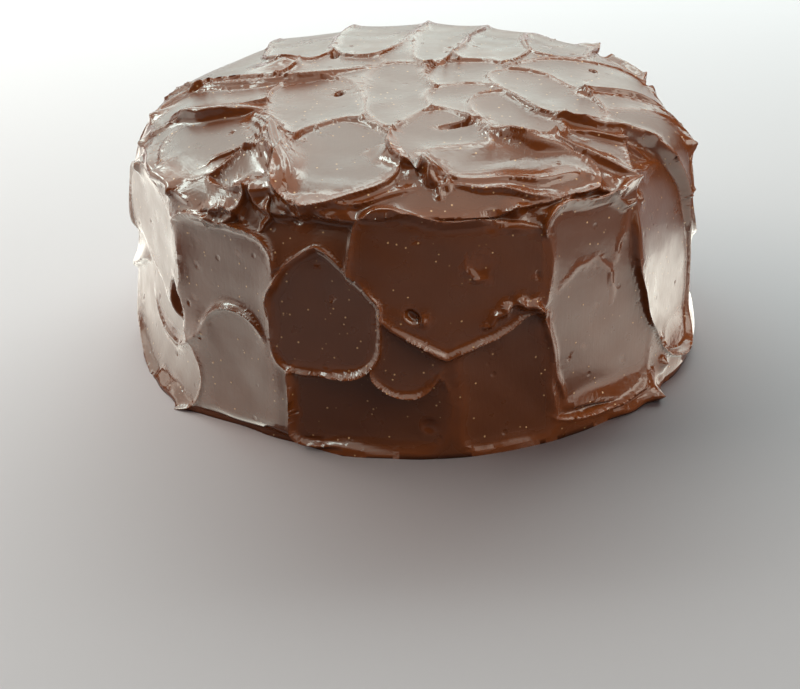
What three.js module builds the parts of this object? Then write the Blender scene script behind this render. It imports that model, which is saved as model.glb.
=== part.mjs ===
// A round layer cake, uncut and covered all over in chocolate frosting.
// The frosting was spread with a spatula, which left scoops with raised lips, rolls, peaks and a pit.
// Millimetres, +Z up, the front towards -Y, the origin at the middle of the flat base.
import * as THREE from 'three';
import { mergeGeometries, mergeVertices } from 'three/addons/utils/BufferGeometryUtils.js';

const { clamp, lerp, smoothstep } = THREE.MathUtils;

// Driving dimensions of the cake
const CAKE_RADIUS = 120;
const CAKE_HEIGHT = 110.8;
const RIM_POWER = 4.39; // how squarely the top turns into the rim
const WALL_POWER = 6; // how upright the wall stands
const FOOT_FLARE = 1.6; // frosting pushed out at the foot of the wall
const FOOT_REACH = 6;

// Driving dimensions of the frosting
const LIP_WIDTH = 4.5; // outer slope of the ridge round a scoop
const EDGE_BLEND = 1.5; // inner slope of that ridge
const SKIRT_REACH = 3; // how far a raised edge reaches over what lies beside it
const OUTLINE_WOBBLE = 0.9;
const WOBBLE_ACROSS = 6.3;
const WOBBLE_ALONG = 5.7;
const EDGE_LIMIT = 30;
const NOSE_BLEND = 0.4; // stretch round a scoop's middle in which its tail turns into its nose
const PUSH_FROM = 0.2; // the lip pushed up by the spatula starts here, towards the scoop's end
const PUSH_FULL = 0.95;
const NARROWEST_ROLL = 11;
const ROLL_FULLNESS = 1.6; // how quickly a roll falls away from its crest
const ROLL_END = 0.7; // how bluntly it ends
const PEAK_FALL = 1.8;
const PEAK_POINT = 1.3;
const PIT_STEEPNESS = 7;
const PIT_LIMIT = 9;
const PAST_END = 1.3; // how far beyond its ends, in half lengths, a scoop's bend goes on
const PAST_EDGE = 1.15; // how far beyond its outline its floor goes on
const DEEPEST_FILL = 14; // most of the rim's round that a scoop fills out
const STEEPEST_FILL = 0.5;
const FILL_FROM = 90; // radius from which a scoop on the top may fill out the rim
const PLAN_LIMIT = 105; // radius up to which the top is measured in plan

// Back of the wall: two rows of scoops, drawn by rule
const BACK_ROWS = [72, 27];
const BACK_COLUMNS = 7;
const BACK_START = 102;
const BACK_END = 258;
const BACK_SHIFT = 4; // degrees to either side
const BACK_LIFT = 5; // up or down
const BACK_TURN = 30; // degrees from upright
const BACK_LENGTHS = [52, 66];
const BACK_WIDTHS = [48, 60];
const BACK_SEED = 20;
const DRAW_FACTOR = 1664525;
const DRAW_STEP = 1013904223;
const DRAW_RANGE = 2 ** 32;

// Mesh density
const TOP_STEPS = 46;
const WALL_STEPS = 19;
const WALL_START = 118; // length of the profile, from the top's middle, that the top takes
const RING_STEPS = 4 * TOP_STEPS;
const MERGE_WITHIN = 1e-4;
const TINY = 1e-6;

const DEGREE = Math.PI / 180;
const MM_PER_DEGREE = CAKE_RADIUS * DEGREE;

// The cake's outline in half section, from the middle of the top to the foot of the wall
class CakeProfile extends THREE.Curve {
  constructor() {
    super();
    this.arcLengthDivisions = 2000;
  }

  getPoint(share, target = new THREE.Vector2()) {
    const turn = (Math.PI / 4) * (1 - Math.cos(Math.PI * share));
    return target.set(
      CAKE_RADIUS * Math.sin(turn) ** (2 / RIM_POWER),
      CAKE_HEIGHT * Math.abs(Math.cos(turn)) ** (2 / WALL_POWER),
    );
  }
}

const profile = new CakeProfile();
const PROFILE_LENGTH = profile.getLength();
const PLAN_LIMIT_RUN = runAtRadius(PLAN_LIMIT);

// Length of the profile up to a radius, by halving
function runAtRadius(radius) {
  let low = 0;
  let high = 1;
  while (high - low > TINY) {
    const middle = (low + high) / 2;
    if (profile.getPointAt(middle).x < radius) {
      low = middle;
    } else {
      high = middle;
    }
  }
  return low * PROFILE_LENGTH;
}

// Height of the cake's even form at a radius
function levelAt(radius) {
  return CAKE_HEIGHT * (1 - (radius / CAKE_RADIUS) ** RIM_POWER) ** (1 / WALL_POWER);
}

// Marks are placed on one of two charts. The top is seen in plan: x to the right, y to the back.
// The wall is unrolled: x in degrees from the front, to the right, and y the height.

// What a scoop is like where nothing else is said: tail and nose are how blunt its start and its end are,
// rise lifts its end and bank its left side, flat takes out the wall's round and fill the rim's
const USUAL_SCOOP = {
  ...{ bend: 0, sway: 0, taper: 0, tail: 2.6, nose: 2.6 },
  ...{ depth: 1.6, flat: 0, fill: 0, rise: 0, bank: 0, lip: 1.1, push: 0.5 },
};

// The two scoops at the front of the top start in a point, cut deep and end bluntly
const FRONT_SCOOP = { tail: 1.7, nose: 3, depth: 2.2 };

// A scoop: its middle, the way the spatula went (degrees, 90 is to the back or up), length and width
function topScoop(x, y, heading, length, width, shape = {}) {
  return { chart: 'top', x, y, heading, length, width, ...USUAL_SCOOP, ...shape };
}

function wallScoop(x, y, heading, length, width, shape = {}) {
  return { chart: 'wall', x: x * MM_PER_DEGREE, y, heading, length, width, ...USUAL_SCOOP, ...shape };
}

// A roll of frosting: from one end to the other, its bow to the left, width and height
function topRoll(x, y, endX, endY, bow, width, height) {
  return { chart: 'top', x, y, endX, endY, bow, width, height };
}

function wallRoll(x, y, endX, endY, bow, width, height) {
  const start = x * MM_PER_DEGREE;
  return { chart: 'wall', x: start, y, endX: endX * MM_PER_DEGREE, endY, bow, width, height };
}

const topPeak = (x, y, radius, height) => ({ chart: 'top', x, y, radius, height });

const wallPeak = (x, y, radius, height) => ({ chart: 'wall', x: x * MM_PER_DEGREE, y, radius, height });

// A pit: its middle, heading, length, width and depth
function wallPit(x, y, heading, length, width, depth) {
  return { chart: 'wall', x: x * MM_PER_DEGREE, y, heading, length, width, depth };
}

// The scoops in the order in which they were spread: each cuts into those before it
const scoops = [
  ...backScoops(),
  // Tongues from the rim at the back to the middle of the top
  topScoop(-80, 52, -75, 112, 56, { depth: 1.8, rise: 0.8 }),
  topScoop(-42, 72, -93, 104, 36, { sway: -4, rise: 0.8, fill: 0.45 }),
  topScoop(-12, 74, -93, 100, 34, { sway: -6, rise: 0.8, fill: 0.5 }),
  topScoop(42, 66, -94, 108, 40, { sway: -6, rise: 0.8, fill: 0.6 }),
  topScoop(80, 2, 195, 86, 42, { taper: 0.1, rise: 0.8 }),
  topScoop(67, 54, -97, 64, 30, { rise: 0.6, fill: 0.6 }),
  topScoop(19, 70, -93, 114, 26, { sway: -7, taper: -0.22, rise: 0.9, fill: 0.55 }),
  // Left of the top
  topScoop(-78, -12, -5, 62, 36, { bank: -0.8 }),
  topScoop(-82, -74, -42, 48, 28, { depth: 0.4, lip: 0.5 }),
  topScoop(-76, -49, -60, 46, 38, { tail: 3.4, nose: 3, depth: 1, rise: 1, bank: -1.6, lip: 0.6, fill: 0.8 }),
  // Middle of the top
  topScoop(-4, -22, -90, 78, 30, { rise: 0.3, lip: 0.8 }),
  topScoop(24, 0, -85, 38, 36, { rise: 0.5, lip: 0.7 }),
  topScoop(22, -32, -85, 42, 32, { rise: 0.7, lip: 0.8 }),
  topScoop(-38, -32, -84, 64, 38, { rise: 1 }),
  // Right of the top: the sweep along the rim and the two scoops beside it
  topScoop(84, -56, 28, 92, 46, { lip: 0.6, fill: 0.3 }),
  topScoop(40, -46, -68, 48, 30),
  topScoop(54, -22, -58, 62, 30, { bank: -0.8 }),
  // Front of the top
  topScoop(-27, -76, -90, 58, 42, { ...FRONT_SCOOP, taper: 0.12, rise: 1.4, lip: 1.5, fill: 0.7 }),
  topScoop(10, -66, -92, 54, 36, { ...FRONT_SCOOP, taper: 0.25, rise: 1.2, lip: 1.2, fill: 0.5 }),
  topScoop(33, -86, 5, 66, 24, { tail: 4, depth: 1, lip: 0.5, fill: 0.6 }),
  // Wide facets of the wall
  wallScoop(-39, 61, 90, 46, 56, { tail: 4, nose: 4, depth: 0.6, flat: 1, lip: 0.4, fill: 0.6 }),
  wallScoop(37, 48, 90, 84, 60, { tail: 5, nose: 7, depth: 0.3, flat: 1, lip: 1, push: 1.2, fill: 0.6 }),
  wallScoop(-66, 64, 180, 68, 44, { tail: 3, nose: 3, depth: 0.6, flat: 1, lip: 0.6, fill: 0.4 }),
  wallScoop(-68, 25, -15, 98, 46, { depth: 0.8, flat: 0.5, bank: -3 }),
  // Narrower facets over them
  wallScoop(-36, 28, 90, 48, 38, { tail: 4, nose: 2.2, depth: 1.4, flat: 1, lip: 0.3 }),
  wallScoop(61.5, 54, -70, 98, 52, { bend: -3, tail: 3, nose: 2.4, depth: 0.6, flat: 1, bank: -1 }),
  wallScoop(87, 62, -30, 66, 44, { lip: 1.8, depth: 2.6 }),
  wallScoop(-9, 20, 180, 60, 36, { tail: 5, nose: 6, depth: 0.8, flat: 1, push: 1.8 }),
  wallScoop(-2, 44, -90, 30, 28, { tail: 3, nose: 2.2, depth: 1.8, push: 1.2 }),
  wallScoop(16, 32, 90, 61, 37, { sway: 2, taper: -0.1, tail: 5, nose: 4, depth: 1.4, flat: 1, push: 1.2 }),
  wallScoop(6, 67, -95, 47, 75, { tail: 9, nose: 1.15, flat: 0.5, lip: 1.8, push: 1.2, fill: 0.55 }),
  wallScoop(-18, 58, 90, 49, 44, { bend: -2.5, tail: 3.2, nose: 1.4, depth: 2.2, flat: 0.4, lip: 2.4 }),
];

const rolls = [
  // Left of the top
  topRoll(-60, -38, -42, -97, 1, 10, 3.2),
  topRoll(-98, -20, -58, -36, -4, 11, 5.5),
  topRoll(-113, -28, -92, -70, -2, 6, 2.6),
  topRoll(-112, 26, -14, 13, -22, 12, 1.2),
  // Front edge of the top
  topRoll(-68, -82, -44, -95, -1, 9, 3),
  topRoll(-50, -94, 2, -97, -5, 7, 2.4),
  topRoll(-16, -74, 1, -96, 1, 9, 4),
  topRoll(3, -84, 7, -100, 0, 10, 6.5),
  topRoll(5, -95, 60, -84, -5, 7, 2.6),
  topRoll(25, -62, 60, -72, -4, 12, 4.6),
  // Right of the top
  topRoll(52, -68, 86, -76, -1, 8, 3),
  topRoll(54, -49, 98, -43, -3, 7, 2),
  topRoll(66, -19, 108, -8, 0, 6, 1.8),
  topRoll(76, 74, 108, 20, 4, 9, 4),
  // Wall, low on its sides and along its foot
  wallRoll(-96, 16, -76, 42, 4, 8, 3),
  wallRoll(28, 12, 56, 8, -2, 8, 2.4),
  wallRoll(-46, 1, -14, 1, 0, 9, -4.5),
  wallRoll(38, 2, 56, 2, 0, 9, 3.5),
  wallRoll(54, 6, 86, 14, -4, 20, 4),
  wallRoll(-64, 1, -46, 1, 0, 8, 3.5),
];

const peaks = [
  topPeak(53, -66, 5, 3),
  topPeak(59, -46, 5, 2.4),
  topPeak(70, -19, 5, 2.2),
  topPeak(-55, 15, 11, 4),
  wallPeak(76, 87, 6, 4),
  wallPeak(50, 3, 6, 5),
];

const pits = [
  wallPit(-52, 44, 110, 16, 6, 3.5),
];

// Scoops of like size over the part of the wall that faces away, with seeded places and sizes
function backScoops() {
  let state = BACK_SEED;
  const draw = (low, high) => {
    state = (state * DRAW_FACTOR + DRAW_STEP) % DRAW_RANGE;
    return lerp(low, high, state / DRAW_RANGE);
  };
  const made = [];
  for (let column = 0; column < BACK_COLUMNS; column += 1) {
    const middle = lerp(BACK_START, BACK_END, column / (BACK_COLUMNS - 1));
    for (const row of BACK_ROWS) {
      const x = middle + draw(-BACK_SHIFT, BACK_SHIFT);
      const y = row + draw(-BACK_LIFT, BACK_LIFT);
      const heading = 90 + draw(-BACK_TURN, BACK_TURN);
      const length = draw(...BACK_LENGTHS);
      const width = draw(...BACK_WIDTHS);
      made.push(wallScoop(x, y, heading, length, width, { tail: 3, nose: 3, depth: 0.8, flat: 1 }));
    }
  }
  return made;
}

// Offsets from a mark on its chart, the shorter way round the wall
function offset(mark, place, x = mark.x, y = mark.y) {
  const spot = place[mark.chart];
  let across = spot.x - x;
  if (mark.chart === 'wall') {
    const round = 2 * Math.PI * CAKE_RADIUS;
    across -= round * Math.round(across / round);
  }
  return [across, spot.y - y];
}

function turned(mark, place) {
  const [x, y] = offset(mark, place);
  const cos = Math.cos(mark.heading * DEGREE);
  const sin = Math.sin(mark.heading * DEGREE);
  return [x * cos + y * sin, y * cos - x * sin];
}

// How far the cake's rim falls away from the plane that a scoop on the top or on the wall starts in
function rimFall(scoop, place) {
  if (scoop.chart === 'top') {
    const start = levelAt(Math.min(Math.hypot(scoop.x, scoop.y), FILL_FROM));
    return clamp(start - place.level, 0, DEEPEST_FILL) * place.out;
  }
  return clamp(CAKE_RADIUS - place.radius, 0, DEEPEST_FILL) / Math.max(-place.up, STEEPEST_FILL);
}

// The wall's round that a flat scoop takes out, nothing at its sides
function roundTaken(scoop, place) {
  const [x] = offset(scoop, place);
  const cos = Math.cos(scoop.heading * DEGREE);
  const sin = Math.sin(scoop.heading * DEGREE);
  const reach = Math.hypot((scoop.length / 2) * cos, (scoop.width / 2) * sin);
  return (reach ** 2 - Math.min(Math.abs(x), PAST_EDGE * reach) ** 2) / (2 * CAKE_RADIUS);
}

// The frosting's height after a scoop: a dished floor inside, a lip pushed up round it
function afterScoop(height, scoop, place) {
  const [run, sideways] = turned(scoop, place);
  const along = run / (scoop.length / 2);
  const held = clamp(along, -PAST_END, PAST_END);
  const half = (scoop.width / 2) * (1 + scoop.taper * held);
  const bent = scoop.bend * (1 - held ** 2) + (scoop.sway * (3 * held - held ** 3)) / 2;
  const across = (sideways - bent) / half;
  const power = lerp(scoop.tail, scoop.nose, smoothstep(along, -NOSE_BLEND, NOSE_BLEND));
  const size = (Math.abs(along) ** power + Math.abs(across) ** power) ** (1 / power) + TINY;
  const slope = Math.hypot(
    (Math.abs(along) / size) ** (power - 1) / (scoop.length / 2),
    (Math.abs(across) / size) ** (power - 1) / half,
  );
  const spot = place[scoop.chart];
  const wave = Math.sin(spot.x / WOBBLE_ACROSS + scoop.x) * Math.sin(spot.y / WOBBLE_ALONG + scoop.y);
  const gap = (size - 1) / slope + OUTLINE_WOBBLE * wave;
  const inside = 1 / (1 + Math.exp(clamp(gap / EDGE_BLEND, -EDGE_LIMIT, EDGE_LIMIT)));
  const filled = scoop.fill * rimFall(scoop, place);
  const lifted = scoop.rise * clamp(along, -PAST_EDGE, PAST_EDGE);
  const banked = scoop.bank * clamp(across, -PAST_EDGE, PAST_EDGE);
  const dish = scoop.depth * (1 - Math.min(size, PAST_EDGE) ** 2) + scoop.flat * roundTaken(scoop, place);
  const floor = filled + lifted + banked - dish;
  const edge = filled + (scoop.rise * along + scoop.bank * across) / size;
  const beyond = Math.max(gap, 0);
  const skirt = Math.max(edge - height, 0) * Math.exp(-((beyond / SKIRT_REACH) ** PEAK_POINT));
  const lip = scoop.lip + scoop.push * smoothstep(along / size, PUSH_FROM, PUSH_FULL);
  const bank = height + skirt + lip * Math.exp(-((beyond / LIP_WIDTH) ** PEAK_POINT));
  return inside * floor + (1 - inside) * bank;
}

function rollHeight(roll, place) {
  const middleX = (roll.x + roll.endX) / 2;
  const middleY = (roll.y + roll.endY) / 2;
  const [x, y] = offset(roll, place, middleX, middleY);
  const length = Math.hypot(roll.endX - roll.x, roll.endY - roll.y);
  const cos = (roll.endX - roll.x) / length;
  const sin = (roll.endY - roll.y) / length;
  const along = (x * cos + y * sin) / (length / 2);
  const across = y * cos - x * sin - roll.bow * (1 - along ** 2);
  const ends = Math.max(1 - along ** 2, 0) ** ROLL_END;
  const half = (Math.max(roll.width, NARROWEST_ROLL) / 2) * ((1 + ends) / 2);
  return roll.height * ends * Math.exp(-ROLL_FULLNESS * (across / half) ** 2);
}

function peakHeight(peak, place) {
  const [x, y] = offset(peak, place);
  return peak.height * Math.exp(-PEAK_FALL * (Math.hypot(x, y) / peak.radius) ** PEAK_POINT);
}

function pitDepth(pit, place) {
  const [run, sideways] = turned(pit, place);
  const reach = Math.hypot(run / (pit.length / 2), sideways / (pit.width / 2));
  return pit.depth / (1 + Math.exp(PIT_STEEPNESS * (Math.min(reach, PIT_LIMIT) - 1)));
}

// Angle of a step round the wall, the same number for a step and for that step a full turn on
function ringAngle(step) {
  const first = ((step % RING_STEPS) + RING_STEPS) % RING_STEPS;
  return first * ((2 * Math.PI) / RING_STEPS);
}

const total = (marks, measure, place) => marks.reduce((sum, mark) => sum + measure(mark, place), 0);

// How far the frosting stands out from the cake's even form, at a profile length and an angle
function frostingHeight(run, azimuth) {
  const share = Math.min(run / PROFILE_LENGTH, 1);
  const { x: radius, y: level } = profile.getPointAt(share);
  const { x: out, y: up } = profile.getTangentAt(share);
  const plan = run < PLAN_LIMIT_RUN ? radius : PLAN_LIMIT + run - PLAN_LIMIT_RUN;
  const place = {
    radius,
    level,
    out,
    up,
    top: { x: plan * Math.sin(azimuth), y: -plan * Math.cos(azimuth) },
    wall: { x: azimuth * CAKE_RADIUS, y: level },
  };
  const spread = scoops.reduce((height, scoop) => afterScoop(height, scoop, place), 0);
  const raised = total(rolls, rollHeight, place) + total(peaks, peakHeight, place);
  const foot = FOOT_FLARE * Math.exp(-level / FOOT_REACH);
  return spread + raised + foot - total(pits, pitDepth, place);
}

// A point of the frosted surface: profile length from the top's middle, and angle from the front
function cakePoint(run, azimuth, height) {
  const share = Math.min(run / PROFILE_LENGTH, 1);
  const base = profile.getPointAt(share);
  const along = profile.getTangentAt(share);
  const radius = base.x - along.y * height;
  const z = share < 1 ? Math.max(base.y + along.x * height, 0) : 0;
  return new THREE.Vector3(radius * Math.sin(azimuth), -radius * Math.cos(azimuth), z);
}

// Joins the higher two corners of each grid cell, so that a ridge runs on across the cells
function followRidges(index, heights) {
  for (let cell = 0; cell < index.count; cell += 6) {
    const a = index.getX(cell);
    const b = index.getX(cell + 1);
    const d = index.getX(cell + 2);
    const c = index.getX(cell + 4);
    if (heights[a] + heights[c] > heights[b] + heights[d]) {
      [a, b, c, a, c, d].forEach((corner, i) => index.setX(cell + i, corner));
    }
  }
}

function withPositionsOnly(geometry) {
  geometry.deleteAttribute('normal');
  geometry.deleteAttribute('uv');
  return geometry;
}

// Lays a grid on the frosted surface, where locate gives each vertex a profile length and an angle
function frostedGrid(grid, locate) {
  const { position, uv } = grid.attributes;
  const heights = [];
  for (let i = 0; i < position.count; i += 1) {
    const [run, azimuth] = locate(position.getX(i), position.getY(i), uv.getX(i), uv.getY(i));
    heights.push(frostingHeight(run, azimuth));
    position.setXYZ(i, ...cakePoint(run, azimuth, heights[i]).toArray());
  }
  followRidges(grid.index, heights);
  return withPositionsOnly(grid);
}

// A square grid drawn out to the round top, ring by ring
function topOnSquare(x, y) {
  const reach = Math.max(Math.abs(x), Math.abs(y));
  if (reach === 0) {
    return [0, 0];
  }
  const eighth = Math.PI / 4;
  let turn;
  if (Math.abs(x) >= Math.abs(y)) {
    turn = (x > 0 ? 0 : Math.PI) + eighth * (y / x);
  } else {
    turn = (y > 0 ? Math.PI / 2 : -Math.PI / 2) - eighth * (x / y);
  }
  const step = (2 * Math.PI) / RING_STEPS;
  const azimuth = turn + Math.PI / 2;
  const onRim = reach > 1 - TINY;
  return [reach * WALL_START, onRim ? ringAngle(Math.round(azimuth / step)) : azimuth];
}

function wallOnTube(x, y, u, v) {
  const run = WALL_START + (PROFILE_LENGTH - WALL_START) * (1 - v);
  return [run, ringAngle(Math.round(u * RING_STEPS))];
}

// The flat base, out to the foot of the wall and facing down
function flatBase() {
  const disc = new THREE.CircleGeometry(1, RING_STEPS);
  const { position } = disc.attributes;
  for (let i = 1; i < position.count; i += 1) {
    const azimuth = ringAngle(1 - i);
    const foot = cakePoint(PROFILE_LENGTH, azimuth, frostingHeight(PROFILE_LENGTH, azimuth));
    position.setXYZ(i, ...foot.toArray());
  }
  return withPositionsOnly(disc);
}

function frostedCake() {
  const square = new THREE.PlaneGeometry(2, 2, TOP_STEPS, TOP_STEPS);
  const tube = new THREE.CylinderGeometry(1, 1, 1, RING_STEPS, WALL_STEPS, true);
  const pieces = [frostedGrid(square, topOnSquare), frostedGrid(tube, wallOnTube), flatBase()];
  const geometry = mergeVertices(mergeGeometries(pieces), MERGE_WITHIN);
  geometry.computeVertexNormals();
  return geometry;
}

const frosting = new THREE.MeshStandardMaterial({ color: '#4b2c1e', roughness: 0.3, metalness: 0 });

const cake = new THREE.Mesh(frostedCake(), frosting);
cake.name = 'frosted_cake';

const part = new THREE.Group();
part.add(cake);

export default part;
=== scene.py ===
"""Chocolate frosted layer cake: the frosting with its spatula marks, and the studio round it."""

import math
from dataclasses import dataclass

import bmesh
import bpy
import numpy as np
from bpy.props import FloatProperty, FloatVectorProperty, IntProperty, PointerProperty
from bpy.types import Operator, Panel, PropertyGroup
from mathutils import Matrix


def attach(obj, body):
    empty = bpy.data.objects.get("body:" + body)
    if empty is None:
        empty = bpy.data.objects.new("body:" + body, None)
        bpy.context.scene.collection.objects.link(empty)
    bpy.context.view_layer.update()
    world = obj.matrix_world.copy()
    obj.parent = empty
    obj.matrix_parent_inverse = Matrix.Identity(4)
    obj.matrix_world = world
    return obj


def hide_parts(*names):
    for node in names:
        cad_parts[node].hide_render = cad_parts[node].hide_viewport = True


bl_info = {
    "name": "Chocolate Frosted Cake",
    "version": (1, 0, 0),
    "blender": (4, 5, 0),
    "location": "3D View > Sidebar > Cake",
    "description": "Spreads the frosting of a round layer cake and sets a soft studio round it",
    "category": "Object",
}

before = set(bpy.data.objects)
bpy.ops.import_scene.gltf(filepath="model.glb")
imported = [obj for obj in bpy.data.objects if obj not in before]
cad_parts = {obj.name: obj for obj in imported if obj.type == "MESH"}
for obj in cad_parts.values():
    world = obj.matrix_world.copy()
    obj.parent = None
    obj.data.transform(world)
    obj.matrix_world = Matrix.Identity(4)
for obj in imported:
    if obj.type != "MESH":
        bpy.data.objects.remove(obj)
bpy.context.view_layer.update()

MM = 0.001
FULL_TURN = 2 * math.pi

# The cake under the frosting's marks, in millimetres: a superellipse turned round
CAKE_RADIUS = 120.0
CAKE_HEIGHT = 110.8
RIM_POWER = 4.39
WALL_POWER = 6.0
FOOT_FLARE = 1.6
FOOT_REACH = 6.0

# Marks on the top are placed in plan, out to this radius and then on along the profile;
# marks on the wall by degrees round from the front and by height
PLAN_LIMIT = 105.0
MM_PER_DEGREE = CAKE_RADIUS * math.pi / 180

# Low ripple all over the frosting: its height, how far its waves bend, and their lengths
RIPPLE_HEIGHT = 0.13
RIPPLE_BEND = 1.3
RIPPLE_ACROSS = 6.1
RIPPLE_BENDS = 9.7
RIPPLE_BACK = 7.9
RIPPLE_UP = 5.3

# Scoops on the far side of the wall, which are drawn by a seeded rule: their rows and columns,
# how far they stray from these, and their sizes
BACK_ROWS = (72, 27)
BACK_COLUMNS = 7
BACK_START = 102
BACK_END = 258
BACK_STRAY_ROUND = 4
BACK_STRAY_UP = 5
BACK_STRAY_TURN = 30
BACK_LENGTHS = (52, 66)
BACK_WIDTHS = (48, 60)
BACK_SEED = 20

# The seeded rule, by which each draw follows from the one before it
DRAW_FACTOR = 1664525
DRAW_STEP = 1013904223
DRAW_RANGE = 4294967296

# Small dents: how many, the share on the top, where they lie and their sizes
DENT_SEED = 4
DENT_COUNT = 120
DENTS_ON_TOP = 0.45
DENT_PLAN = (-75, 75)
DENT_HEIGHTS = (10, 90)
DENT_LENGTHS = (1.2, 3.0)
DENT_WIDTHS = (0.8, 1.6)
DENT_DEPTHS = (0.2, 0.6)

# The mesh starts as a box: the run along the profile at which the box's top edge lies,
# and how close two heights on the box are that count as the same
WALL_START = 118.0
SAME_LEVEL = 1e-4

# How far a face may stray from the frosting before it is split, at each round
SPLITS = (0.12, 0.14, 0.2)

# How near to a crest a vertex is drawn onto it, and how far above the foot this and the lean of crests end
SNAP_REACH = 0.27
FOOT_HELD = 3.0

# Edges are noted from this far off, given up this far inside a new scoop, and turned round
# the top's middle by no less than this radius
NO_EDGE = 1000
EDGE_LOST = -2
MIDDLE_RADIUS = 5

# Guards: the largest power of e that is worked out, and what keeps a divisor off 0
EXP_LIMIT = 30
TINY = 1e-9


@dataclass
class Scoop:
    """One pull of the spatula: a bent, tapered outline with a dished floor and a lip round it.

    tail and nose say how blunt its start and its end are: 1 is a point, 2 is round, 4 is nearly square.
    rise lifts the end over the start, and bank the left side over the right. flank is how far the lip
    falls off outside, soft blurs every edge but the end's, and fill is the share of the rim's round that
    is filled out.
    """

    chart: str
    x: float
    y: float
    heading: float
    length: float
    width: float
    bend: float = 0
    sway: float = 0
    taper: float = 0
    tail: float = 2.6
    nose: float = 2.6
    depth: float = 1.6
    flat: float = 0
    rise: float = 0
    bank: float = 0
    lip: float = 1.1
    push: float = 0.5
    flank: float = 2.2
    fill: float = 0
    soft: float = 0
    lean: float = 0.3
    streak: float = 0.03

    # Outline, in half lengths and half widths: how far out it bends, where its tail turns into its nose,
    # and what keeps its size off 0
    BEND_END = 1.3
    TAIL_TO_NOSE = (-0.4, 0.4)
    SIZE_LEAST = 1e-6

    # How far the outline strays, the lengths of its wide and its fine waves, and the share of the fine ones
    WOBBLE = 0.9
    WIDE_WAVES = (6.3, 5.7)
    FINE_WAVES = (1.9, 2.3, 1.7, 2.9)
    FINE_SHARE = 0.08

    # Floor: how far out its dish and its tilt go on, in half lengths and half widths
    DISH_END = 1.15
    TILT_END = 1.1

    # Fine lines along the floor: how close they lie, how far and how often they stray,
    # how often they fade, and how far inside the edge they begin and are whole
    LINE_TURN = 2.3
    LINE_STRAY = 2.4
    STRAY_TURN = 0.41
    FADE_TURN = 0.53
    LINES_FROM = (-1, -6)

    # Filling out the rim: the radius within which the top is level, the most that is filled,
    # and the least slope of the wall that is reckoned with
    LEVEL_REACH = 90
    FALL_LIMIT = 14
    SLOPE_LEAST = 0.5

    # Edge: how wide it blends, how far inside the outline, and where along the scoop soft edges turn crisp
    EDGE_BLEND = 0.28
    EDGE_SET_BACK = 0.6
    CRISP_FROM = (0.3, 0.8)

    # Lip: its width inside, the share of its thin part, its mean, its least, its long and short waves
    # with the number of each round the scoop, and where along the scoop it is pushed up
    LIP_INNER = 0.7
    LIP_WIRE = 0.6
    LIP_MEAN = 0.55
    LIP_LEAST = 0.05
    LIP_WAVES = (0.4, 2)
    LIP_WAVELETS = (0.25, 5)
    PUSH_FROM = (0.2, 0.95)

    # Skirt from the lip down to what lies round the scoop
    SKIRT_REACH = 1.3
    SKIRT_POWER = 1.3

    # Lean of the lip: how far from the edge, up to which height, and from which height on
    LEAN_REACH = 2.4
    LEAN_LIMIT = 5
    LEAN_FROM = (0, 1.5)

    # How far inside the edge older marks fade and are gone, how wide the ridge along the edge is,
    # and the height that a lip needs to be noted as thin
    WIPED = (-1.5, -4.5)
    RIDGE_REACH = 2.2
    THIN_FROM = 0.3


@dataclass
class Roll:
    """A rounded ridge of frosting that was pushed up, with fine lines along it."""

    chart: str
    x: float
    y: float
    end_x: float
    end_y: float
    bow: float
    width: float
    height: float
    lean: float = 0
    streak: float = 0

    # How far and how often a roll strays, how its ends thin out, and how narrow they get
    STRAY = 0.5
    STRAY_TURN = 7
    END_POWER = 0.7
    END_WIDTH = 0.45

    # Width on the side that it leans to and on the other, and how its round falls off
    STEEP = 0.65
    GENTLE = 1.25
    FALL = 1.6

    # Distance between its lines, and where its ridge ends across and along it
    LINE_PITCH = 2.4
    RIDGE = (1.7, 1)
    RIDGE_END = 1.05


@dataclass
class Peak:
    """A small pulled-up tip."""

    chart: str
    x: float
    y: float
    radius: float
    height: float
    lean_x: float = 0
    lean_y: float = 0

    # How it falls off, how far down its tip leans, and where its ridge ends, in radii
    FALL = 1.8
    FALL_POWER = 1.3
    TIP_POWER = 1.5
    RIDGE = (1.6, 0.8)


@dataclass
class Pit:
    """A hole that a bubble or a tear left."""

    chart: str
    x: float
    y: float
    heading: float
    length: float
    width: float
    depth: float

    # How sharp its edge is, and where the ridge round it ends, in half sizes
    SHARPNESS = 7
    RIDGE = (2, 1.2)


def on_top(kind, x, y, *sizes, **shape):
    """A mark on the top, placed in plan."""
    return kind("top", x, y, *sizes, **shape)


def on_wall(kind, degrees, height, *sizes, **shape):
    """A mark on the wall, placed by degrees round and height."""
    return kind("wall", degrees * MM_PER_DEGREE, height, *sizes, **shape)


def wall_roll(degrees, height, end_degrees, end_height, *sizes, **shape):
    """A roll on the wall, which has both its ends in degrees."""
    return on_wall(Roll, degrees, height, end_degrees * MM_PER_DEGREE, end_height, *sizes, **shape)


def back_scoops():
    """Scoops in rows round the far side of the wall."""
    state = BACK_SEED

    def draw(low, high):
        nonlocal state
        state = (state * DRAW_FACTOR + DRAW_STEP) % DRAW_RANGE
        return low + (high - low) * state / DRAW_RANGE

    made = []
    for column in range(BACK_COLUMNS):
        middle = BACK_START + (BACK_END - BACK_START) * column / (BACK_COLUMNS - 1)
        for row in BACK_ROWS:
            degrees = middle + draw(-BACK_STRAY_ROUND, BACK_STRAY_ROUND)
            height = row + draw(-BACK_STRAY_UP, BACK_STRAY_UP)
            heading = 90 + draw(-BACK_STRAY_TURN, BACK_STRAY_TURN)
            length = draw(*BACK_LENGTHS)
            width = draw(*BACK_WIDTHS)
            scoop = on_wall(Scoop, degrees, height, heading, length, width, tail=3, nose=3, depth=0.8, flat=1)
            made.append(scoop)
    return made


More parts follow.
